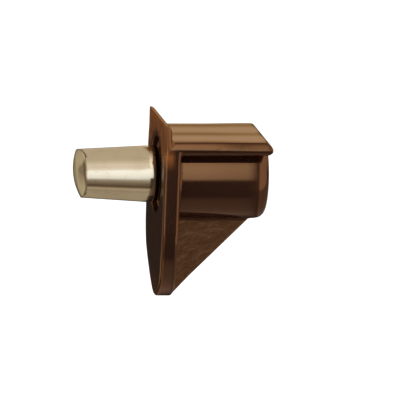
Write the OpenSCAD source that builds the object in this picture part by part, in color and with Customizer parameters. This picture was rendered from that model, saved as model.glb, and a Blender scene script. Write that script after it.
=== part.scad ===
// Shelf support pin: a moulded bracket that carries a shelf on its ledge, with a steel
// pin set in its boss. The pin goes into a drilled hole in the side panel.
// Frame: origin on the pin's axis, in the plane of the flange's back face. +X leaves the
// panel towards the end of the ledge, +Y runs along the panel and +Z is up.

/* [Steel pin] */
// Diameter of the part that fills the drilled hole
pin_d = 5; // [4:0.1:6]
// Length of the parallel part, out from the flange's back face
pin_straight = 1; // [0.5:0.1:4]
// How far the pin stands out of the flange's back face
pin_out = 7.4; // [6:0.05:10]
// Diameter at the tip, where the taper ends
pin_tip_d = 4.2; // [3.6:0.05:4.8]
// Radius of the crowned end face
pin_crown_r = 5.2; // [3:0.1:8]
// How far the crown's highest point lies above the pin's axis, as the cut is a little askew
pin_crown_rise = 0.45; // [0:0.05:0.6]
// Diameter of the grooved shank inside the boss
shank_d = 4.5; // [3.6:0.1:4.7]
// Length of the grooved shank
shank_l = 6; // [3:0.5:7]
// Number of ring grooves in the shank
groove_count = 3; // [1:1:4]
// Width of one groove
groove_w = 0.7; // [0.3:0.1:1]
// Depth of one groove
groove_depth = 0.25; // [0.1:0.05:0.5]

/* [Flange] */
// Width across the straight sides
flange_w = 10; // [8:0.5:12]
// Thickness between the back and front faces
flange_t = 1.5; // [1.2:0.1:2.2]
// From the pin's axis down to where the sides start to curve in
flange_side_drop = 4.3; // [4:0.1:5.5]
// From the pin's axis down to the foot
flange_drop = 10.9; // [10:0.1:14]
// Width of the flat at the foot
foot_w = 1.4; // [0.6:0.1:3]
// Radius of the front edge of the rim
rim_front_r = 0.35; // [0.1:0.05:0.55]
// Radius of the back edge of the rim
rim_back_r = 0.15; // [0.05:0.05:0.2]
// Diameter of the shallow recess round the pin
recess_d = 6.7; // [6:0.1:7.4]
// Depth of that recess
recess_depth = 0.6; // [0.3:0.1:1]

/* [Ledge] */
// From the pin's axis up to the face that the shelf rests on
ledge_rise = 3.7; // [3:0.1:4.4]
// From the flange's back face to the end of the ledge
ledge_reach = 9.65; // [8:0.1:12]
// Thickness of the ledge
ledge_t = 1.2; // [1.1:0.1:1.5]
// Radius of the bull nose round its three free edges
ledge_edge_r = 0.5; // [0.2:0.05:0.54]

/* [Lip above the ledge] */
// Height above the ledge
lip_h = 1.45; // [1:0.05:1.6]
// Thickness at the level of the ledge
lip_t = 0.7; // [0.7:0.05:1]
// Radius of its front face, which curves back as it rises
lip_curve_r = 6; // [6:0.5:20]
// Radius of its top front edge, which leaves a thin crest
lip_top_r = 0.5; // [0.2:0.05:0.5]
// Radius of its front edge at the two ends
lip_end_r = 0.45; // [0.1:0.05:0.45]

/* [Boss] */
// Diameter of the boss that grips the pin
boss_d = 7.9; // [7.2:0.1:8.6]
// From the flange's back face to the end of the boss
boss_reach = 9.6; // [8:0.1:12]
// Radius round the end of the boss
boss_end_r = 0.7; // [0.3:0.1:1.5]
// Radius in the corner where it runs out of the flange
boss_root_r = 0.45; // [0.2:0.05:0.5]

/* [Web] */
// Thickness of the web under the boss
web_t = 1.8; // [1:0.1:3]
// From the flange's back face to where the web runs out under the boss
web_reach = 8.2; // [6:0.05:8.6]
// From the foot up to the lower end of the web's sloping edge
web_foot_rise = 0.3; // [0:0.05:2]

/* [Fits] */
// Clearance left round the shank in its bore
shank_clear = 0.02; // [0:0.01:0.05]
// Clearance left behind the shank's end
bore_end_clear = 0.3; // [0.1:0.1:1]

/* [Hidden] */
$fn = 96;
// rim of the flange: two equal arcs run from the straight sides to the foot
half_w = flange_w / 2;
arc_drop = flange_drop - flange_side_drop;
arc_in = half_w - foot_w / 2;
arc_r = (arc_in * arc_in + arc_drop * arc_drop) / (2 * arc_in);
// everything on the front of the flange starts in the middle of its thickness
root_x = flange_t / 2;
// the boss is cut off inside the ledge's thickness
boss_top = ledge_rise - ledge_t / 2;
bore_l = recess_depth + shank_l + bore_end_clear;
// the lip's top front edge is a round that touches both its top and its curved front
lip_top_z = lip_h - lip_top_r;
lip_inner_r = lip_curve_r - lip_top_r;
lip_top_x = lip_t - lip_curve_r + sqrt(lip_inner_r * lip_inner_r - lip_top_z * lip_top_z);
lip_touch_z = lip_top_z * lip_curve_r / lip_inner_r;
// the crown is cut on the last stretch of the taper, half a diameter long
crown_base = pin_out - pin_tip_d / 2;
crown_base_d = pin_tip_d + (pin_d - pin_tip_d) * (pin_out - crown_base) / (pin_out - pin_straight);
groove_pitch = shank_l / (groove_count + 1);

// ---- profiles ----

// One half of a slab's section, from the middle out to a rim with two edge radii;
// x runs out to the rim and y through the thickness, from the back face
module rim_half(out, thick, front_r, back_r) {
    square([out - front_r, thick]);
    square([out - back_r, thick / 2]);
    translate([0, back_r]) square([out, thick - back_r - front_r]);
    translate([out - front_r, thick - front_r]) circle(front_r);
    translate([out - back_r, back_r]) circle(back_r);
}

// The whole section of a straight-sided slab
module rim_section(thick, front_r, back_r) {
    rim_half(half_w, thick, front_r, back_r);
    mirror([1, 0]) rim_half(half_w, thick, front_r, back_r);
}

// ---- placing: a profile drawn in x and y becomes a solid along one axis ----

module along_y(width) { rotate([90, 0, 0]) linear_extrude(width, center = true) children(); }
module about_x() { rotate([0, 90, 0]) rotate_extrude() children(); }
module upright(height) { rotate([0, 0, -90]) linear_extrude(height) children(); }

// ---- the moulded bracket ----

// Round-edged disc whose rim is the flange's curved edge on one side
module rim_disc(side) {
    translate([0, side * (half_w - arc_r), -flange_side_drop])
        about_x() rim_half(arc_r, flange_t, rim_front_r, rim_back_r);
}

// Curved lower part of the flange: where the two discs overlap, above the flat foot
module flange_foot() {
    intersection() {
        rim_disc(1);
        rim_disc(-1);
        translate([0, -half_w, -flange_drop]) cube([flange_t, flange_w, arc_drop]);
    }
}

// Straight-sided upper part of the flange, up to where the ledge's bull nose rounds it over
module flange_sides() {
    translate([0, 0, -flange_side_drop]) upright(flange_side_drop + ledge_rise - ledge_edge_r)
        rim_section(flange_t, rim_front_r, rim_back_r);
}

// Section of the lip above the ledge: x is its thickness and y its height
module lip_section() {
    intersection() {
        translate([lip_t - lip_curve_r, 0]) circle(lip_curve_r);
        square([lip_t, lip_touch_z]);
    }
    square([lip_top_x, lip_h]);
    translate([lip_top_x, lip_top_z]) circle(lip_top_r);
}

// Thin lip that stands above the ledge and bears against the shelf's end
module lip() {
    intersection() {
        translate([0, 0, root_x]) upright(ledge_rise - root_x + lip_h)
            rim_section(lip_t, lip_end_r, rim_back_r);
        along_y(2 * flange_w) {
            square([lip_t, ledge_rise]);
            translate([0, ledge_rise]) lip_section();
        }
    }
}

// Ledge with a bull nose round its two sides and its end; it starts inside the lip
module ledge() {
    start_x = lip_t / 2;
    inner_w = flange_w - 2 * ledge_edge_r;
    run = ledge_reach - ledge_edge_r - start_x;
    translate([start_x, 0, ledge_rise - ledge_t]) {
        translate([0, -inner_w / 2, 0]) cube([run, inner_w, ledge_t]);
        translate([0, -flange_w / 2, ledge_edge_r])
            cube([run, flange_w, ledge_t - 2 * ledge_edge_r]);
        translate([0, -inner_w / 2, ledge_edge_r])
            cube([run + ledge_edge_r, inner_w, ledge_t - 2 * ledge_edge_r]);
        for (z = [ledge_edge_r, ledge_t - ledge_edge_r]) {
            translate([run, 0, z]) rotate([90, 0, 0])
                cylinder(h = inner_w, r = ledge_edge_r, center = true);
            for (side = [-1, 1]) translate([0, side * inner_w / 2, z]) {
                rotate([0, 90, 0]) cylinder(h = run, r = ledge_edge_r);
                translate([run, 0, 0]) sphere(ledge_edge_r);
            }
        }
        for (side = [-1, 1]) translate([run, side * inner_w / 2, ledge_edge_r])
            cylinder(h = ledge_t - 2 * ledge_edge_r, r = ledge_edge_r);
    }
}

// Half-section of the boss: x runs out from its axis and y along it, from the flange's middle
module boss_section(length) {
    square([boss_d / 2 - boss_end_r, length]);
    square([boss_d / 2, length - boss_end_r]);
    translate([boss_d / 2 - boss_end_r, length - boss_end_r]) intersection() {
        circle(boss_end_r);
        square(boss_end_r);
    }
}

// Section of the hollow round that the boss has where it runs out of the flange
module boss_root_section() {
    difference() {
        square([boss_d / 2 + boss_root_r, flange_t - root_x + boss_root_r]);
        translate([boss_d / 2 + boss_root_r, flange_t - root_x + boss_root_r])
            circle(boss_root_r);
    }
}

// Round boss under the ledge, with a rounded end
module boss() {
    intersection() {
        translate([root_x, 0, 0]) about_x() {
            boss_section(boss_reach - root_x);
            boss_root_section();
        }
        translate([0, -boss_d, -boss_d]) cube([2 * boss_reach, 2 * boss_d, boss_d + boss_top]);
    }
}

// Sloping web that braces the boss against the flange
module web() {
    along_y(web_t) polygon([
        [root_x, 0],
        [root_x, web_foot_rise - flange_drop],
        [flange_t, web_foot_rise - flange_drop],
        [web_reach, -boss_d / 2],
        [web_reach, 0]
    ]);
}

// Recess in the back face and the blind bore behind it
module pin_seat() {
    translate([-recess_depth, 0, 0]) about_x() square([recess_d / 2, 2 * recess_depth]);
    about_x() square([shank_d / 2 + shank_clear, bore_l]);
}

module bracket_body() {
    color("#3a1d12") difference() {
        union() {
            flange_foot();
            flange_sides();
            lip();
            ledge();
            boss();
            web();
        }
        pin_seat();
    }
}

// ---- the turned pin ----
// Drawn upright: z is the distance out from the flange's back face.

// A turned length between two heights, with its diameter at each end
module turned(z, d, z_end, d_end) {
    translate([0, 0, z]) cylinder(h = z_end - z, d1 = d, d2 = d_end);
}

// Last stretch of the taper, ended by the cap of a large ball
module crowned_tip() {
    intersection() {
        turned(crown_base, crown_base_d, pin_out, pin_tip_d);
        translate([pin_crown_rise, 0, pin_out - pin_crown_r]) sphere(pin_crown_r);
    }
}

// Grooved shank that the boss grips
module shank() {
    difference() {
        turned(-recess_depth - shank_l, shank_d, 0, shank_d);
        for (i = [1:groove_count]) translate([0, 0, -recess_depth - i * groove_pitch])
            difference() {
                cylinder(h = groove_w, d = shank_d + 1);
                translate([0, 0, -1]) cylinder(h = groove_w + 2, d = shank_d - 2 * groove_depth);
            }
    }
}

module steel_pin() {
    color("#b3a585") rotate([0, -90, 0]) {
        shank();
        turned(-recess_depth, pin_d, pin_straight, pin_d);
        turned(pin_straight, pin_d, crown_base, crown_base_d);
        crowned_tip();
    }
}

bracket_body();
steel_pin();
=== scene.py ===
import bpy
from math import cos, pi, radians, sin, sqrt
from mathutils import Matrix, Vector


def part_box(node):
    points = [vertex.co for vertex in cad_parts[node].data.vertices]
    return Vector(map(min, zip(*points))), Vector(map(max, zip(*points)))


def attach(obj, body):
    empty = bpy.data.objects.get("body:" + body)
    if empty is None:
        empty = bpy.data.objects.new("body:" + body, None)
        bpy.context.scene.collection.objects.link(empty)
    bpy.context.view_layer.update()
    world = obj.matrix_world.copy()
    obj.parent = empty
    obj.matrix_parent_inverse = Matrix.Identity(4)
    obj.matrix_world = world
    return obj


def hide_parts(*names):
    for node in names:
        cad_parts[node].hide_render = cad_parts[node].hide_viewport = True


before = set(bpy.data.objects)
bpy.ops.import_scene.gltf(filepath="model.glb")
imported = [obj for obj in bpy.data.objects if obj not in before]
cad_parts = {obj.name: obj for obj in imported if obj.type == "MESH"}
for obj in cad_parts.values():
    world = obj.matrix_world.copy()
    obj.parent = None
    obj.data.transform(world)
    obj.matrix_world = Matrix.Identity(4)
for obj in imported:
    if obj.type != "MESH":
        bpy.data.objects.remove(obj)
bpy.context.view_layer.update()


# ---- Bracket ----
# One injection moulding in glossy dark brown plastic: a shield-shaped flange with a thinned lip,
# a ledge with a bull nose, the round boss that grips the pin, and a bracing web. The plastic
# shrinks a little as it cools, so the ledge has faint sink marks and the flange bows.

mm = 0.001
bore_axis = (0, radians(90), 0)
low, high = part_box("bracket_body")
foot_z, ledge_reach, half_width = low[2] / mm, high[0] / mm, high[1] / mm
flange_t, lip_t, lip_top = 1.5, 0.7, 5.19
ledge_under, ledge_top = 2.5, 3.7
boss_r, web_reach, web_half_t = 3.95, 8.2, 0.9
web_foot, root_x = foot_z + 0.3, flange_t / 2
front_rim_r, back_rim_r, lip_end_r, crest_r = 0.22, 0.1, 0.45, 0.5
ledge_under_r, ledge_top_r = 0.5, 0.6


def close_all():
    """Leaves edit mode and deselects every object."""
    if bpy.context.mode == "EDIT_MESH":
        bpy.ops.object.mode_set(mode="OBJECT")
    bpy.ops.object.select_all(action="DESELECT")


def open_up(name):
    """Names the new object, fixes its place in its mesh and opens it in edit mode."""
    made = bpy.context.object
    made.name = name
    bpy.ops.object.transform_apply()
    bpy.ops.object.mode_set(mode="EDIT")
    bpy.ops.mesh.select_mode(type="EDGE")
    return made


def block(name, low, high):
    """A block between two corners in millimetres."""
    close_all()
    middle = [(a + b) / 2 * mm for a, b in zip(low, high)]
    bpy.ops.mesh.primitive_cube_add(size=1, location=middle)
    bpy.context.object.scale = [(b - a) * mm for a, b in zip(low, high)]
    return open_up(name)


def drum(name, radius, start, end, y=0, z=0, sides=192):
    """A round bar along X between two places in millimetres."""
    close_all()
    bpy.ops.mesh.primitive_cylinder_add(
        vertices=sides, radius=radius * mm, depth=(end - start) * mm,
        location=((start + end) / 2 * mm, y * mm, z * mm), rotation=bore_axis)
    return open_up(name)


def turned(name, outline, sides):
    """A round bar about the pin's axis, drawn out ring by ring; each ring has a place and a radius."""
    close_all()
    place, radius = outline[0]
    bpy.ops.mesh.primitive_circle_add(vertices=sides, radius=radius * mm, fill_type="NGON",
                                      location=(place * mm, 0, 0), rotation=bore_axis)
    made = open_up(name)
    bpy.ops.mesh.select_all(action="SELECT")
    for next_place, next_radius in outline[1:]:
        bpy.ops.mesh.extrude_region_move(
            TRANSFORM_OT_translate={"value": ((next_place - place) * mm, 0, 0)})
        bpy.ops.transform.resize(value=(1, next_radius / radius, next_radius / radius),
                                 center_override=(next_place * mm, 0, 0))
        place, radius = next_place, next_radius
    bpy.ops.mesh.select_all(action="SELECT")
    bpy.ops.mesh.normals_make_consistent(inside=False)
    return made


def edges_where(test):
    """Selects the edges of the open mesh whose middle passes the test, in millimetres."""
    bpy.ops.mesh.select_all(action="DESELECT")
    bpy.ops.object.mode_set(mode="OBJECT")
    mesh = bpy.context.object.data
    for edge in mesh.edges:
        start, end = (mesh.vertices[index].co for index in edge.vertices)
        edge.select = test(*((start + end) / 2 / mm))
    bpy.ops.object.mode_set(mode="EDIT")


def round_edges(radius, steps, test):
    """Rounds those edges to a radius in millimetres."""
    edges_where(test)
    bpy.ops.mesh.bevel(offset=radius * mm, segments=steps, affect="EDGES", clamp_overlap=False)


def combine(target, tool, how):
    """Joins, cuts or trims the target with the tool, which is used up."""
    close_all()
    bpy.context.view_layer.objects.active = target
    cut = target.modifiers.new(how.lower(), "BOOLEAN")
    cut.operation, cut.solver, cut.object = how, "EXACT", tool
    bpy.ops.object.modifier_apply(modifier=cut.name)
    bpy.data.objects.remove(tool)


def round_rims(side=0):
    """Rounds the open form's front and back rims, all round or only past a distance to the side."""
    round_edges(front_rim_r, 5, lambda x, y, z: x > flange_t - 0.01 and abs(y) >= side)
    round_edges(back_rim_r, 3, lambda x, y, z: x < 0.01 and abs(y) >= side)


# the flange's lower part: two large discs with rounded rims overlap in a shield's point
disc_r, disc_z = 7.215, -4.3
bracket = drum("bracket", disc_r, 0, flange_t, y=half_width - disc_r, z=disc_z, sides=384)
round_rims()
disc = drum("other disc", disc_r, 0, flange_t, y=disc_r - half_width, z=disc_z, sides=384)
round_rims()
combine(bracket, disc, "INTERSECT")
combine(bracket, block("foot cut", (-1, -6, foot_z), (3, 6, disc_z)), "INTERSECT")

# its straight sides, a hair inside the discs and the ledge so that no two faces coincide
hair, side_y = 0.0015, half_width - 0.1
sides = block("sides", (0, hair - half_width, disc_z - 0.05), (flange_t, half_width - hair, 3.2))
round_rims(side_y)

# the lip: rounded ends in plan, and a front that leans back to a thin crest
lip = block("lip", (0.001, hair + 0.001 - half_width, 0.75), (lip_t, half_width - hair - 0.001, 6))
round_edges(lip_end_r, 8, lambda x, y, z: x > lip_t - 0.01 and abs(y) > side_y)
round_edges(back_rim_r, 3, lambda x, y, z: x < 0.01 and abs(y) > side_y)
lean_by = 0.17
lean = block("lean", (-0.2, -6, 2.6), (lip_t + 0.02, 6, lip_top))
edges_where(lambda x, y, z: x > lip_t - 0.1 and z > lip_top - 0.1)
bpy.ops.transform.translate(value=(-lean_by * mm, 0, 0))
round_edges(crest_r, 10, lambda x, y, z: x > lip_t - 0.2 and z > lip_top - 0.1)
combine(lip, lean, "INTERSECT")


def free_edge(x, y):
    """Whether a place is on one of the ledge's three free sides."""
    return x > ledge_reach - 0.05 or abs(y) > side_y


# the ledge, with a bull nose round its three free edges
ledge = block("ledge", (0.3, -half_width, ledge_under), (ledge_reach, half_width, ledge_top))
round_edges(ledge_under_r, 8, lambda x, y, z: z < ledge_under + 0.1 and free_edge(x, y))
round_edges(ledge_top_r, 10, lambda x, y, z: z > ledge_top - 0.1 and free_edge(x, y))

# the boss under it: parallel, eased in over its last stretch, and then a quarter oval round the end
nose_x, nose_r, nose_length, nose_height = 8.86, 3.22, 0.74, 0.68
boss_outline = [(root_x, boss_r), (flange_t, boss_r), (7.7, boss_r), (8.1, 3.9475), (8.4, 3.943)]
boss_outline += [(8.6, 3.938), (8.75, 3.931), (8.85, 3.92)]
boss_outline += [(nose_x + nose_length * sin(t), nose_r + nose_height * cos(t))
                 for t in (radians(a) for a in range(13, 91, 7))]
boss = turned("boss", boss_outline, 256)
combine(boss, block("level", (-1, -6, -6), (12, 6, 3.1)), "INTERSECT")

# the web, cut off along its slope, which runs from under the boss's end to the flange's foot
web = block("web", (root_x, -web_half_t, web_foot), (web_reach, web_half_t, 0))
bpy.ops.mesh.select_all(action="SELECT")
bpy.ops.mesh.bisect(plane_co=(web_reach * mm, 0, -boss_r * mm), use_fill=True, clear_outer=True,
                    plane_no=(-web_foot - boss_r, 0, flange_t - web_reach))

# the recess in the back face and the blind bore behind it go through every form that they meet
recess_r, recess_depth, bore_r, bore_end = 3.35, 0.6, 2.27, 6.9
forms = (bracket, sides, lip, ledge, boss, web)
for form in forms:
    combine(form, drum("recess", recess_r, -1, recess_depth), "DIFFERENCE")
    combine(form, drum("bore", bore_r, -1, bore_end), "DIFFERENCE")

# the forms become one casting; plastic flows round every corner, so it is softened by about a
# tenth of a millimetre all over
soft_size = 0.096
close_all()
for form in forms:
    form.select_set(True)
bpy.context.view_layer.objects.active = bracket
bpy.ops.object.join()
cast = bracket.modifiers.new("cast", "REMESH")
cast.mode, cast.voxel_size = "VOXEL", soft_size * mm
bpy.ops.object.modifier_apply(modifier=cast.name)
soften = bracket.modifiers.new("soften", "SMOOTH")
soften.factor, soften.iterations = 0.5, 4
bpy.ops.object.modifier_apply(modifier=soften.name)


def ease(value, start, end):
    """Rises smoothly from 0 at the start to 1 at the end."""
    share = min(max((value - start) / (end - start), 0), 1)
    return share * share * (3 - 2 * share)


def between(value, stops):
    """Reads a value off a line through the stops."""
    for (start, low), (end, high) in zip(stops, stops[1:]):
        if value <= end:
            return low + (high - low) * max(value - start, 0) / (end - start)
    return stops[-1][1]


# heights and how far the flange bows there, towards the ledge or, below zero, towards the wall
bow = [(foot_z, 0.13), (-9, 0.06), (-8, 0), (-7, -0.06), (-5, -0.07), (-2, -0.06), (2, -0.04), (3.5, 0)]
sink_spacing, sink_depth, sink_from = 4.05, 0.026, 1.4
twist = 0.012
for vertex in bracket.data.vertices:
    x, y, z = vertex.co / mm
    shift = between(z, bow) * (1 - ease(x, flange_t, 3.5))
    flat = ease(z, 3.5, 3.65) * ease(x, 0.6, 0.9) * (1 - ease(abs(y), 4.0, 4.5))
    sink = sink_depth * sin(2 * pi * (y - sink_from) / sink_spacing) * flat
    sink += twist * y * ease(x, 4, 9) * ease(z, 2.4, 3)
    vertex.co += Vector((shift, 0, sink)) * mm
bracket.select_set(True)
bpy.ops.object.shade_smooth()


def put(tree, kind, inputs, **settings):
    """Adds a node with its settings, feeds its inputs values or sockets, and gives its outputs."""
    made = tree.nodes.new("ShaderNode" + kind)
    for name, value in settings.items():
        setattr(made, name, value)
    for key, value in inputs.items():
        if isinstance(value, bpy.types.NodeSocket):
            tree.links.new(value, made.inputs[key])
        else:
            made.inputs[key].default_value = value
    return made.outputs


def calc(tree, operation, first, second=0.0, third=0.0):
    """A sum on values or sockets."""
    return put(tree, "Math", {0: first, 1: second, 2: third}, operation=operation)[0]


def times(tree, first, second):
    """One value or socket times another."""
    return calc(tree, "MULTIPLY", first, second)


def plus(tree, total, mask, amount):
    """A total with a share of a mask added to it."""
    return calc(tree, "MULTIPLY_ADD", mask, amount, total)


def mixed(tree, share, below, above):
    """One colour laid over another by a share between 0 and 1."""
    return put(tree, "Mix", {0: share, 6: below, 7: above}, data_type="RGBA")[2]


def rise(tree, value, start, end, top=1.0):
    """A mask that rises smoothly from 0 at the start to its top at the end."""
    return put(tree, "MapRange", {"Value": value, "From Min": start, "From Max": end, "To Max": top},
               interpolation_type="SMOOTHSTEP")[0]


def millimetres(tree):
    """The place on the piece in millimetres, whole and as x, y and z."""
    place = put(tree, "TexCoord", {})["Object"]
    place = put(tree, "VectorMath", {0: place, "Scale": 1000.0}, operation="SCALE")[0]
    return place, *put(tree, "SeparateXYZ", {0: place})


def off_centre(tree, y, z):
    """How far a place is from the pin's axis."""
    return calc(tree, "SQRT", plus(tree, times(tree, z, z), y, y))


def rough_surface(tree, height, shader):
    """Gives a shader its heights in millimetres."""
    bump = put(tree, "Bump", {"Height": height, "Distance": mm, "Strength": 1.0})[0]
    tree.links.new(bump, shader.inputs["Normal"])


def effect(name, inputs, outputs):
    """An empty node group for an effect that both materials use."""
    group = bpy.data.node_groups.new(name, "ShaderNodeTree")
    for socket, kind in inputs.items():
        group.interface.new_socket(socket, in_out="INPUT", socket_type="NodeSocket" + kind)
    for socket in outputs:
        group.interface.new_socket(socket, in_out="OUTPUT", socket_type="NodeSocketFloat")
    return group, group.nodes.new("NodeGroupInput").outputs, group.nodes.new("NodeGroupOutput").inputs


# uneven patches: soft clouds between 0 and 1, with a little finer grain in them
patches, given, result = effect("uneven patches", {"Place": "Vector", "Per mm": "Float"},
                                ["Cloud", "Grain"])
cloud = put(patches, "TexNoise", {"Vector": given["Place"], "Scale": given["Per mm"], "Detail": 2.0})[0]
patches.links.new(rise(patches, cloud, 0.3, 0.7), result["Cloud"])
finer = times(patches, given["Per mm"], 7.0)
grain = put(patches, "TexNoise", {"Vector": given["Place"], "Scale": finer, "Detail": 3.0})[0]
patches.links.new(grain, result["Grain"])

# fine scratches: long thin streaks along one direction, broken up by a coarser pattern
scratches, given, result = effect(
    "fine scratches",
    {"Place": "Vector", "Turn": "Vector", "Length mm": "Float", "Amount": "Float"}, ["Mask"])
lined = put(scratches, "VectorRotate", {"Vector": given["Place"], "Rotation": given["Turn"]},
            rotation_type="EULER_XYZ")[0]
along = calc(scratches, "DIVIDE", 1.0, given["Length mm"])
squeeze = put(scratches, "CombineXYZ", {0: along, 1: 14.0, 2: 14.0})[0]
lined = put(scratches, "VectorMath", {0: lined, 1: squeeze}, operation="MULTIPLY")[0]
streak = put(scratches, "TexNoise", {"Vector": lined, "Scale": 1.0, "Detail": 1.0})[0]
broken = put(scratches, "TexNoise", {"Vector": given["Place"], "Scale": 0.9, "Detail": 1.0})[0]
level = calc(scratches, "SUBTRACT", 0.86, times(scratches, given["Amount"], broken))
mask = rise(scratches, calc(scratches, "SUBTRACT", streak, level), 0.0, 0.06)
scratches.links.new(mask, result["Mask"])


def placed(tree, group, inputs):
    """Places an effect in a material with its own values, and gives its outputs."""
    return put(tree, "Group", inputs, node_tree=group)


plastic = bpy.data.materials.new("glossy brown plastic")
plastic.use_nodes = True
tree = plastic.node_tree
skin = tree.nodes["Principled BSDF"]
skin.inputs["IOR"].default_value = 2.5
skin.inputs["Specular Tint"].default_value = (1, 0.51, 0.245, 1)
# the first colour is the plastic's own brown; the second is a painted glow, the red of light shining
# through thin plastic
solid_brown, glow_brown = (0.011, 0.0048, 0.0036, 1), (0.2, 0.066, 0.017, 1)
place, x, y, z = millimetres(tree)
tint = placed(tree, patches, {"Place": place, "Per mm": 0.55})
waves = put(tree, "TexNoise", {"Vector": place, "Scale": 0.3, "Detail": 0.0})[0]
scuffs = placed(tree, scratches, {"Place": place, "Turn": (0.2, 0.4, 0.5), "Length mm": 1.6,
                                  "Amount": 0.22})["Mask"]

# painted glow: light shining through the thin plastic is painted into the base colour as a redder brown,
# strongest high on the flange and on the lip, faint at its foot, and kept off the lip's near end
on_flange = rise(tree, x, 1.05, 0.5)
lip_end = times(tree, rise(tree, y, -4.5, -4.9, 0.75), rise(tree, z, 2.3, 3.0))
on_flange = times(tree, on_flange, calc(tree, "SUBTRACT", 1.0, lip_end))
near_recess = times(tree, rise(tree, off_centre(tree, y, z), 4.4, 3.3), rise(tree, x, 0.7, 0.5))
through_glow = calc(tree, "ADD", rise(tree, z, 1.0, 2.7, 0.78), rise(tree, z, 3.2, 4.9, 0.3))
through_glow = calc(tree, "ADD", through_glow, rise(tree, z, -8.0, -10.6, 0.11))
through_glow = times(tree, through_glow, plus(tree, 0.72, tint["Cloud"], 0.5))
# painted shade: the glow is taken away round the recess, so that the back face reads dark there
through_glow = times(tree, through_glow, calc(tree, "SUBTRACT", 1.0, near_recess))
through_glow = times(tree, through_glow, on_flange)
tree.links.new(mixed(tree, through_glow, solid_brown, glow_brown), skin.inputs["Base Color"])

# the web's cavity was less polished, and the back face and the recess are duller
on_web = times(tree, rise(tree, z, -3.8, -4.1), rise(tree, x, 1.5, 1.8))
in_recess = times(tree, near_recess, rise(tree, x, 0.08, 0.2))
roughness = plus(tree, 0.05, on_web, 0.13)
roughness = plus(tree, roughness, rise(tree, x, 0.1, -0.02), 0.1)
roughness = plus(tree, roughness, in_recess, 0.2)
roughness = plus(tree, roughness, tint["Grain"], 0.04)
roughness = plus(tree, roughness, scuffs, 0.2)
tree.links.new(roughness, skin.inputs["Roughness"])

# long waves, fine grain and scuffs all over, and smears on the web
smears = put(tree, "VectorMath", {0: place, 1: (0.8, 1.0, 1.2)}, operation="MULTIPLY")[0]
smears = placed(tree, patches, {"Place": smears, "Per mm": 0.9})
height = times(tree, waves, 0.014)
height = plus(tree, height, tint["Grain"], 0.0015)
height = plus(tree, height, scuffs, -0.0015)
height = plus(tree, height, times(tree, smears["Cloud"], on_web), 0.014)
height = plus(tree, height, times(tree, smears["Grain"], on_web), 0.008)
rough_surface(tree, height, skin)
bracket.data.materials.append(plastic)
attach(bracket, "root")
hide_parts("bracket_body")


# ---- Steel pin ----
# A turned steel pin with thin nickel plating, pressed into the boss by its grooved shank. The part
# that stands out tapers to a crown cut a little askew, and is necked where it enters the recess.

pin_r, shank_r, groove_r = 2.5, 2.25, 2.0
taper_from, taper_length, taper = -1.0, 6.4, 0.37
tip_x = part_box("steel_pin")[0][0] / mm


def pin_radius(x):
    """Radius of the outer length, parallel and then tapered to the tip."""
    return pin_r - taper * max(taper_from - x, 0) / taper_length


# the grooved shank, the neck inside the recess, the taper, the rim's rounding and the flat end
pin_outline = [(6.6, 2.1), (6.45, shank_r)]
for start in (4.4, 2.9, 1.4):
    pin_outline += [(start + 0.7, shank_r), (start + 0.66, groove_r)]
    pin_outline += [(start + 0.04, groove_r), (start, shank_r)]
pin_outline += [(0.62, shank_r), (0.6, 2.29), (0.4, 2.34), (0.2, 2.385), (0.0, 2.425), (-0.2, 2.462)]
pin_outline += [(-0.35, 2.485), (-0.5, 2.498), (-0.65, pin_r), (taper_from, pin_r)]
pin_outline += [(x, pin_radius(x)) for x in (-1.6, -2.5, -3.5, -4.5, -5.5, -6.0, -6.25, -6.9)]
rim, rim_ease, end_x = pin_radius(-6.9), 0.05, -7.0
pin_outline += [(-6.95, rim - rim_ease * (1 - sin(t))) for t in (radians(a) for a in range(75, -1, -15))]
pin_outline += [(end_x, 2.0 - 0.1 * step) for step in range(20)] + [(end_x, 0.02)]
pin = turned("turned_pin", pin_outline, 256)
close_all()

# the end's rings are laid on a large ball, whose middle is above the pin's axis; the blade that
# cropped the bar went in on one side and drew the end face back there, and more weakly lower down;
# the tip also stands a hair high
ball, ball_z = 5.2, 0.45
ball_x = tip_x + ball
drag_angle, drag_from, drag_pull = radians(56), 1.2, 0.56
droop_angle, droop_from, droop_pull = radians(-12), 1.35, 0.42
tip_rise = 0.05
for vertex in pin.data.vertices:
    x, y, z = vertex.co / mm
    if x < -6.8:
        out = sqrt(y * y + z * z)
        crown = ball_x - sqrt(ball ** 2 - y * y - (z - ball_z) ** 2)
        back = max(out - (rim - rim_ease), 0) / rim_ease
        crown += rim_ease * (1 - sqrt(max(1 - back * back, 0)))
        dragged = z * sin(drag_angle) - y * cos(drag_angle) - drag_from
        drooped = z * sin(droop_angle) - y * cos(droop_angle) - droop_from
        crown += drag_pull * max(dragged, 0) ** 2 + droop_pull * max(drooped, 0)
        grow = 1 + (pin_radius(crown) / rim - 1) * ease(out, rim - 0.3, rim - 0.01)
        x, y, z = crown, y * grow, z * grow
    vertex.co = Vector((x, y, z + tip_rise * max(taper_from - x, 0) / taper_length)) * mm
pin.select_set(True)
bpy.context.view_layer.objects.active = pin
bpy.ops.object.shade_smooth_by_angle(angle=radians(40))

steel = bpy.data.materials.new("plated steel")
steel.use_nodes = True
tree = steel.node_tree
metal = tree.nodes["Principled BSDF"]
metal.inputs["Metallic"].default_value = 1
plating, tarnished = (0.76, 0.7, 0.585, 1), (0.5, 0.42, 0.31, 1)
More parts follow.
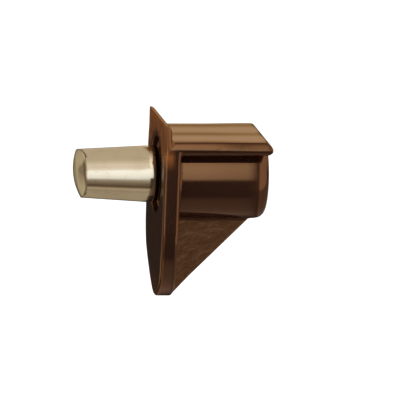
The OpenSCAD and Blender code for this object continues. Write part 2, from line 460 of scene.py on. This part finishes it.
# the first colour is for a dark line at the end's rim; the second is painted shade for the pin's root
# inside the recess
rim_line_colour, root_shade_colour = (0.2, 0.12, 0.05, 1), (0.04, 0.032, 0.022, 1)
place, x, y, z = millimetres(tree)
tarnish = placed(tree, patches, {"Place": place, "Per mm": 0.8})
marks = placed(tree, scratches, {"Place": place, "Turn": (0.0, 0.06, 0.1), "Length mm": 2.0,
                                 "Amount": 0.3})["Mask"]
nicks = placed(tree, scratches, {"Place": place, "Turn": (0.3, 0.9, 0.5), "Length mm": 1.2,
                                 "Amount": 0.28})["Mask"]
worn = calc(tree, "MAXIMUM", marks, nicks)
dull = calc(tree, "MAXIMUM", times(tree, tarnish["Cloud"], 0.16), times(tree, worn, 0.7))
colour = mixed(tree, dull, plating, tarnished)

# a dark line just inside the end's rim on the near side, and painted shade on the pin where it enters
# the recess
off_axis = off_centre(tree, y, z)
# a dark line in the colour just inside the end's rim, on the near side only
rim_line = times(tree, rise(tree, off_axis, 2.02, 2.1), rise(tree, off_axis, 2.2, 2.13))
rim_line = times(tree, rim_line, times(tree, rise(tree, x, -6.3, -6.45, 0.6), rise(tree, y, -1.2, -1.6)))
colour = mixed(tree, rim_line, colour, rim_line_colour)
depth = plus(tree, plus(tree, x, z, 0.06), tarnish["Grain"], 0.2)
root_shade = calc(tree, "MAXIMUM", rise(tree, depth, -0.42, -0.05, 0.75), rise(tree, depth, -0.7, -0.2, 0.4))
tree.links.new(mixed(tree, root_shade, colour, root_shade_colour), metal.inputs["Base Color"])

# the end face is duller than the drawn side
roughness = plus(tree, 0.045, tarnish["Grain"], 0.04)
roughness = plus(tree, roughness, marks, 0.2)
roughness = calc(tree, "ADD", roughness, rise(tree, x, -6.45, -6.8, 0.32))
tree.links.new(roughness, metal.inputs["Roughness"])
drawn = put(tree, "VectorMath", {0: place, 1: (0.12, 2.2, 2.2)}, operation="MULTIPLY")[0]
drawn = put(tree, "TexNoise", {"Vector": drawn, "Scale": 1.0, "Detail": 3.0})[0]
swell = put(tree, "TexNoise", {"Vector": place, "Scale": 0.45, "Detail": 1.0})[0]
height = times(tree, swell, 0.009)
height = plus(tree, height, drawn, 0.0008)
height = plus(tree, height, tarnish["Grain"], 0.0008)
height = plus(tree, height, worn, -0.001)
rough_surface(tree, height, metal)
pin.data.materials.append(steel)
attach(pin, "root")
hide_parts("steel_pin")


# ---- Floor ----
# A sheet of white paper, well below the part; the part's shadow falls there. It glows a little, so
# that it stays white, and it doesn't show in the gloss, where the tent stands in for it.

close_all()
bpy.ops.mesh.primitive_plane_add(size=4, location=(0, 0, -0.03))
floor = bpy.context.object
floor.name = "floor"
bpy.ops.object.transform_apply()
paper = bpy.data.materials.new("white paper")
paper.use_nodes = True
sheet = paper.node_tree.nodes["Principled BSDF"]
sheet.inputs["Base Color"].default_value = (0.9, 0.9, 0.9, 1)
sheet.inputs["Roughness"].default_value = 1
sheet.inputs["Emission Color"].default_value = (1, 1, 1, 1)
sheet.inputs["Emission Strength"].default_value = 0.15
floor.data.materials.append(paper)
floor.visible_glossy = False


# ---- Light tent ----
# A round tent of studio panels and cards that only shows in the gloss: a window panel in front,
# a warm ceiling, a dark gap below it and pale cards at the two ends. It is laid out by two angles:
# round the X axis, and out of the plane across it.

tent_r = 0.3
close_all()
bpy.ops.mesh.primitive_uv_sphere_add(segments=96, ring_count=48, radius=tent_r)
tent = bpy.context.object
tent.name = "light_tent"
cloth = bpy.data.materials.new("tent panels")
cloth.use_nodes = True
tree = cloth.node_tree
tree.nodes.clear()


def strips(angle, stops):
    """Colours by an angle in radians; each stop is its degrees, colour and how much it covers."""
    turn = plus(tree, 0.5, angle, 1 / (2 * pi))
    ramp = tree.nodes.new("ShaderNodeValToRGB")
    tree.links.new(turn, ramp.inputs[0])
    marks = ramp.color_ramp.elements
    marks.remove(marks[1])
    marks[0].position = stops[0][0] / 360 + 0.5
    for degrees, colour, cover in stops:
        mark = marks[0] if degrees == stops[0][0] else marks.new(degrees / 360 + 0.5)
        mark.color = (*colour, cover)
    return ramp.outputs


def between_degrees(angle, start, end, top=1.0):
    """A mask that rises between two angles in degrees."""
    return rise(tree, angle, radians(start), radians(end), top)


x, y, z = put(tree, "SeparateXYZ", {0: put(tree, "TexCoord", {})["Object"]})
out_of_plane = calc(tree, "ARCSINE", calc(tree, "DIVIDE", x, tent_r))
round_x = calc(tree, "ARCTAN2", z, times(tree, y, -1.0))
slanted = calc(tree, "SUBTRACT", round_x, calc(tree, "SUBTRACT", out_of_plane, radians(9)))
unlit, card_shade, dark_red = (0.04, 0.027, 0.02), (0.07, 0.05, 0.04), (0.06, 0.035, 0.02)
near_wall = strips(round_x, [
    (-180, unlit, 1), (-155, unlit, 1), (-138, (0.33, 0.27, 0.18), 1), (-128, (0.36, 0.3, 0.2), 1),
    (-117, (0.41, 0.34, 0.245), 1), (-80, (0.41, 0.34, 0.245), 1), (-74, (0.36, 0.3, 0.21), 1),
    (-68, (0.38, 0.31, 0.22), 1), (-62, (0.47, 0.38, 0.27), 1), (-57, (0.46, 0.37, 0.26), 1),
    (-52, (0.24, 0.18, 0.12), 1), (-47, (0.115, 0.078, 0.048), 1), (-42, (0.135, 0.095, 0.06), 1),
    (-37, (0.19, 0.145, 0.1), 1), (-28, (0.26, 0.21, 0.155), 1), (-19, (0.4, 0.35, 0.28), 1),
    (-14, (0.6, 0.55, 0.47), 1), (-10, (1.0, 0.98, 0.9), 1), (34, (0.95, 0.85, 0.74), 1),
    (38, (0.86, 0.76, 0.65), 1), (47, (0.89, 0.79, 0.66), 1), (56, (0.78, 0.68, 0.54), 1),
    (66, (0.66, 0.57, 0.43), 1), (75, (0.59, 0.5, 0.37), 1), (143, (0.58, 0.49, 0.36), 1),
    (168, (0.56, 0.47, 0.34), 1), (176, unlit, 1)])["Color"]
near_ledge = strips(round_x, [
    (-180, dark_red, 1), (-168, unlit, 1), (-140, (0.05, 0.036, 0.03), 1),
    (-128, (0.16, 0.12, 0.1), 1), (-120, (0.3, 0.24, 0.22), 1), (-112, (0.33, 0.27, 0.24), 1),
    (-98, (0.24, 0.2, 0.18), 1), (-64, (0.18, 0.15, 0.14), 1), (-56, (0.12, 0.1, 0.09), 1),
    (-50, (0.05, 0.04, 0.035), 1), (-16, (0.05, 0.04, 0.035), 1), (-13, (0.05, 0.034, 0.026), 1),
    (-11, (0.065, 0.046, 0.038), 1), (-9, (0.14, 0.12, 0.11), 1), (-6.4, (0.36, 0.34, 0.31), 1),
    (-4, (0.68, 0.66, 0.62), 1), (37, (1.3, 1.22, 1.1), 1), (60, (1.35, 1.18, 1.0), 1),
    (90, (0.72, 0.58, 0.42), 1), (112, (0.36, 0.25, 0.15), 1), (122, (0.16, 0.06, 0.012), 1),
    (148, (0.16, 0.06, 0.012), 1), (156, (0.7, 0.48, 0.25), 1), (163, (1.0, 0.74, 0.45), 1),
    (168.5, (0.74, 0.49, 0.25), 1), (173, (0.42, 0.26, 0.1), 1), (180, dark_red, 1)])["Color"]
window = strips(slanted, [
    (-7.5, (0.6, 0.58, 0.55), 0), (-4.5, (0.8, 0.79, 0.77), 1), (-1.3, (0.96, 0.96, 0.94), 1),
    (4, (1.05, 1.05, 1.03), 1), (9, (1.13, 1.13, 1.1), 1), (16, (1.2, 1.2, 1.17), 1),
    (24, (1.26, 1.27, 1.23), 1), (31, (1.2, 1.2, 1.14), 1), (34.5, (1.05, 1.03, 0.97), 1),
    (37, (0.8, 0.74, 0.67), 0)])
ledge_card = strips(out_of_plane, [
    (10.5, (0.14, 0.1, 0.08), 0), (13.5, (0.14, 0.1, 0.08), 1), (15.5, (0.16, 0.12, 0.09), 1),
    (18, (0.76, 0.62, 0.55), 1), (70, (0.72, 0.58, 0.5), 1), (84, card_shade, 1),
    (90, card_shade, 1)])
wall_card = strips(out_of_plane, [
    (-66, (0.58, 0.49, 0.33), 0), (-58, (0.64, 0.55, 0.37), 1), (-36, (0.6, 0.51, 0.34), 1),
    (-22, unlit, 1), (-3, unlit, 1), (1, unlit, 0)])

# from the wall's end to the ledge's end, then the window and the two cards laid over them
past_wall = between_degrees(out_of_plane, -6, -2)
colour = mixed(tree, past_wall, (0.27, 0.21, 0.14, 1), near_wall)
colour = mixed(tree, between_degrees(out_of_plane, 6.4, 7.6), colour, near_ledge)
colour = mixed(tree, times(tree, window["Alpha"], past_wall), colour, window["Color"])
card_low = between_degrees(round_x, -26, -40, 0.72)
card_colour = mixed(tree, card_low, ledge_card["Color"], (*card_shade, 1))
card_cover = times(tree, ledge_card["Alpha"], between_degrees(round_x, 140, 115))
colour = mixed(tree, card_cover, colour, card_colour)
wall_cover = times(tree, wall_card["Alpha"], rise(tree, y, -0.02, 0.02))
colour = mixed(tree, wall_cover, colour, wall_card["Color"])
glow = put(tree, "Emission", {"Color": colour})[0]
put(tree, "OutputMaterial", {"Surface": glow})
tent.data.materials.append(cloth)
for ray in ("camera", "diffuse", "transmission", "volume_scatter", "shadow"):
    setattr(tent, "visible_" + ray, False)


# ---- Studio light and white surroundings ----
# White walls all round at plain strength, and one large soft lamp above and in front of the part,
# to the pin's side. The lamp doesn't show in the gloss either.

world = bpy.data.worlds.new("studio")
bpy.context.scene.world = world
world.use_nodes = True
air = world.node_tree.nodes["Background"]
air.inputs["Color"].default_value = (1, 1, 1, 1)

lamp = bpy.data.objects.new("softbox", bpy.data.lights.new("softbox", "AREA"))
bpy.context.scene.collection.objects.link(lamp)
lamp.data.size = 0.3
lamp.data.energy = 1.0
lamp.location = (-0.1, -0.3, 0.35)
lamp.rotation_mode = "QUATERNION"
lamp.rotation_quaternion = lamp.location.to_track_quat("Z", "Y")
lamp.visible_glossy = False


# ---- Camera ----
# A long lens a little over half a metre away, almost square to the part's side, slightly above it
# and turned a little about its own axis. It aims a little beside the part's origin.

azimuth, elevation, roll = radians(-9.294), radians(11.305), radians(1.814)
distance, aim_right, aim_down = 0.55, 0.0038935, 0.0023273
back = Vector((sin(azimuth) * cos(elevation), -cos(azimuth) * cos(elevation), sin(elevation)))
right = Vector((cos(azimuth), sin(azimuth), 0))
up = back.cross(right)
right, up = cos(roll) * right + sin(roll) * up, cos(roll) * up - sin(roll) * right
camera = bpy.data.objects.new("camera", bpy.data.cameras.new("camera"))
bpy.context.scene.collection.objects.link(camera)
stand = aim_right * right - aim_down * up + distance * back
camera.matrix_world = Matrix.Translation(stand) @ Matrix((right, up, back)).transposed().to_4x4()
camera.data.sensor_width = 36
camera.data.lens = 559.4
camera.data.clip_start, camera.data.clip_end = 0.01, 5
bpy.context.scene.camera = camera

bpy.context.scene.view_settings.view_transform = "Standard"
